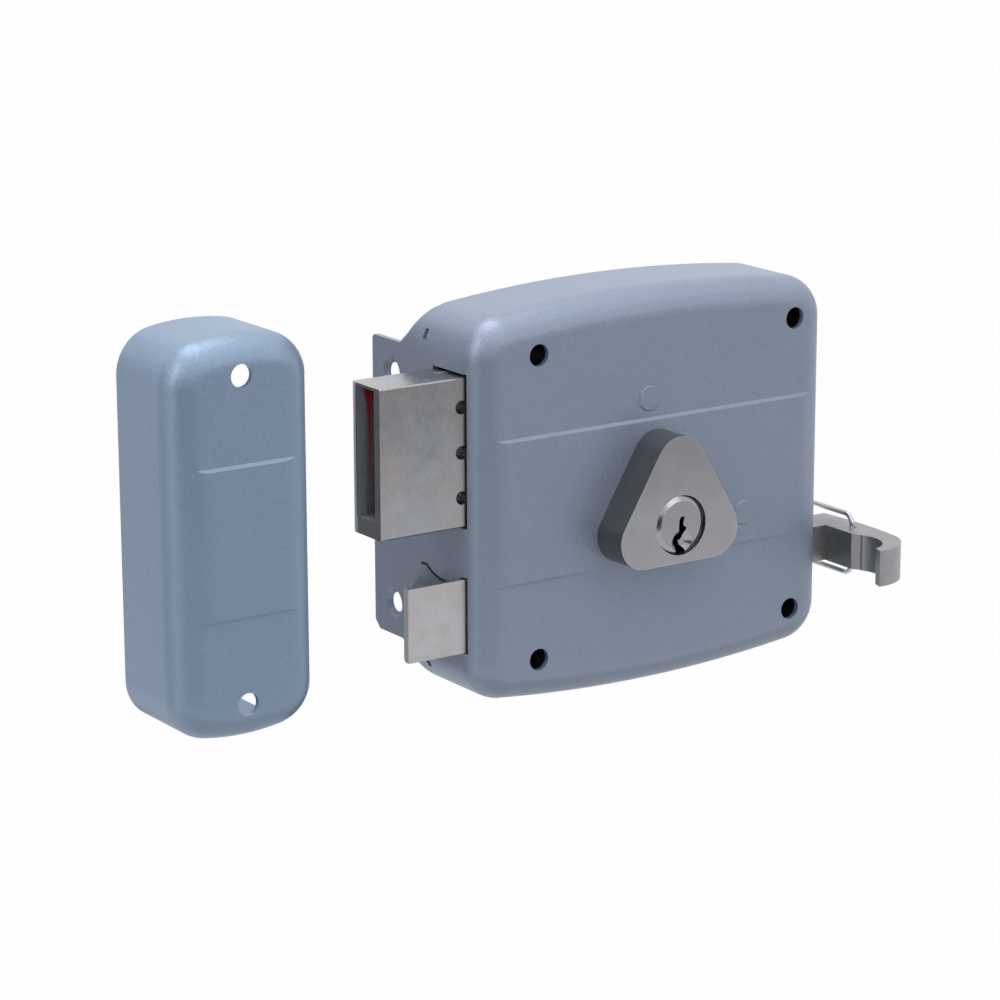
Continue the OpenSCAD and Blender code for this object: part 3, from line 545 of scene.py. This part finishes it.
def windSpring():
    low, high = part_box("latch_spring")
    look = springSet
    wire, sides, shutTurns = look["wire"], look["sides"], look["shutTurns"]
    length = (high.x - low.x) * perMetre
    coil = (high.z - low.z) * perMetre / 2 - wire / 2
    midY, midZ = (low.y + high.y) * perMetre / 2, (low.z + high.z) * perMetre / 2
    shutPitch = wire + look["shut"]
    openTurns = look["turns"] - shutTurns
    openPitch = (length - wire - shutTurns * shutPitch) / openTurns
    steps = int(look["turns"] * look["stepsPerTurn"])
    spots, faces = [], []
    for step in range(steps + 1):
        turn = step / look["stepsPerTurn"]
        opened = min(max(turn - shutTurns / 2, 0.0), openTurns)
        along = wire / 2 + opened * openPitch + (turn - opened) * shutPitch
        turned = turn * math.tau
        for side in range(sides):
            around = side / sides * math.tau
            reach = coil + math.cos(around) * wire / 2
            spots.append(((low.x * perMetre + along + math.sin(around) * wire / 2) / perMetre,
                          (midY + reach * math.cos(turned)) / perMetre,
                          (midZ + reach * math.sin(turned)) / perMetre))
    for step in range(steps):
        near, far = step * sides, (step + 1) * sides
        for side in range(sides):
            after = (side + 1) % sides
            faces.append((near + side, far + side, far + after, near + after))
    tube = len(faces)
    faces.append(tuple(range(sides)))
    faces.append(tuple(steps * sides + side for side in reversed(range(sides))))
    mesh = bpy.data.meshes.new("woundSpring")
    mesh.from_pydata(spots, [], faces)
    mesh.polygons.foreach_set("use_smooth", [place < tube for place in range(len(faces))])
    made = bpy.data.objects.new("woundSpring", mesh)
    scene.collection.objects.link(made)
    made.data.materials.append(springSteel)
    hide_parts("latch_spring")
    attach(made, "case")
    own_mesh(made)


windSpring()
print("spring wound")


# studio: a pale floor well below the hanging lock, white surroundings, soft lamps, and
# glowing cards that only reflections see; the soft ones also shade the lock
studioSet = {
    "worldLight": 0.71,
    "floorDrop": 0.13,
    "floorSize": 14.0,
    "floorTone": 0.40,
    "floorCloud": {"size": 900.0, "tone": 0.02},
    "floorRough": 0.8,
    "floorShine": 0.1,
    "floorGlow": 0.985,         # what the camera and reflections see of it, 1 is white
    "lamps": {
        "top lamp": {"place": (-0.10, 0.14, 1.15), "size": 0.9, "power": 6.0},
        "left lamp": {"place": (-0.95, -0.20, 0.80), "size": 0.24, "power": 1.2},
        "key lamp": {"place": (0.10, -0.52, 0.88), "size": 1.0, "power": 1.7},
    },
    "cards": {
        "grey card": {"line": ((0.06, -0.60), (0.75, -0.60)), "z": (-0.18, 0.05),
                      "tone": 0.50, "soft": False},
        "dark card": {"line": ((-0.45, -0.60), (0.06, -0.60)), "z": (-0.18, 0.05),
                      "tone": 0.10, "soft": False},
        "bright strip": {"line": ((0.02, -0.60), (0.42, -0.60)), "z": (0.21, 0.29),
                         "tone": 3.0, "soft": False},
        "camera card": {"line": ((-0.80, -0.36), (-0.45, -0.60)), "z": (-0.40, 0.16),
                        "tone": 0.02, "soft": False},
        "left strip": {"line": ((-0.82, -0.16), (-0.79, -0.30)), "z": (0.15, 0.75),
                       "tone": 4.0, "soft": False},
        "gap flag": {"line": ((-0.1125, -0.029), (-0.1125, 0.004)), "z": (-0.06, 0.06),
                     "tone": 0.35, "soft": False},
        "left flag": {"line": ((-0.45, 0.03), (-0.45, 0.55)), "z": (-0.30, 0.30),
                      "tone": 0.55, "soft": True},
        "side flag": {"line": ((-0.150, 0.006), (-0.150, 0.34)), "z": (-0.16, 0.16),
                      "tone": 0.42, "soft": True},
    },
}


def studioWorld():
    nodes = Nodes(bpy.data.worlds.new("studio"))
    level = nodes.add("ShaderNodeMix", {}, {
        "Factor": nodes.seen(), "A": studioSet["worldLight"], "B": 1.0})
    back = nodes.add("ShaderNodeBackground", {}, {"Color": white, "Strength": level})
    scene.world = nodes.close(back, "ShaderNodeOutputWorld")


def flatPiece(name, corners, material):
    mesh = bpy.data.meshes.new(name)
    mesh.from_pydata(corners, [], [(0, 1, 2, 3)])
    mesh.materials.append(material)
    made = bpy.data.objects.new(name, mesh)
    scene.collection.objects.link(made)
    return made


def studioFloor():
    half = studioSet["floorSize"] / 2
    height = cadLow.z - studioSet["floorDrop"]
    corners = [(x * half, y * half, height) for x, y in ((-1, -1), (1, -1), (1, 1), (-1, 1))]
    f = Finish("floor", studioSet["floorRough"], studioSet["floorTone"])
    f.layer(**studioSet["floorCloud"])
    matt = f.surface(white[:3], {"Specular IOR Level": studioSet["floorShine"]})
    glow = f.add("ShaderNodeEmission", {}, {"Color": white, "Strength": 1.0})
    both = f.add("ShaderNodeMixShader", {}, [f.seen() * studioSet["floorGlow"], matt, glow])
    flatPiece("floor", corners, f.close(both))


def studioCard(name, card):
    (x0, y0), (x1, y1) = card["line"]
    z0, z1 = card["z"]
    nodes = Nodes(bpy.data.materials.new(name))
    glow = nodes.add("ShaderNodeEmission", {}, {"Color": white, "Strength": card["tone"]})
    corners = [(x0, y0, z0), (x1, y1, z0), (x1, y1, z1), (x0, y0, z1)]
    made = flatPiece(name, corners, nodes.close(glow))
    made.visible_camera = False
    made.visible_diffuse = card["soft"]
    made.visible_transmission = False
    made.visible_shadow = card["soft"]


def studioLamp(name, lamp):
    data = bpy.data.lights.new(name, "AREA")
    data.shape = "DISK"
    data.size = lamp["size"]
    data.energy = lamp["power"]
    made = bpy.data.objects.new(name, data)
    made.location = lamp["place"]
    aim = -Vector(lamp["place"])        # at the middle of the lock
    made.rotation_euler = aim.to_track_quat("-Z", "Y").to_euler()
    scene.collection.objects.link(made)


studioWorld()
studioFloor()
for name, lamp in studioSet["lamps"].items():
    studioLamp(name, lamp)
for name, card in studioSet["cards"].items():
    studioCard(name, card)
print("studio done")
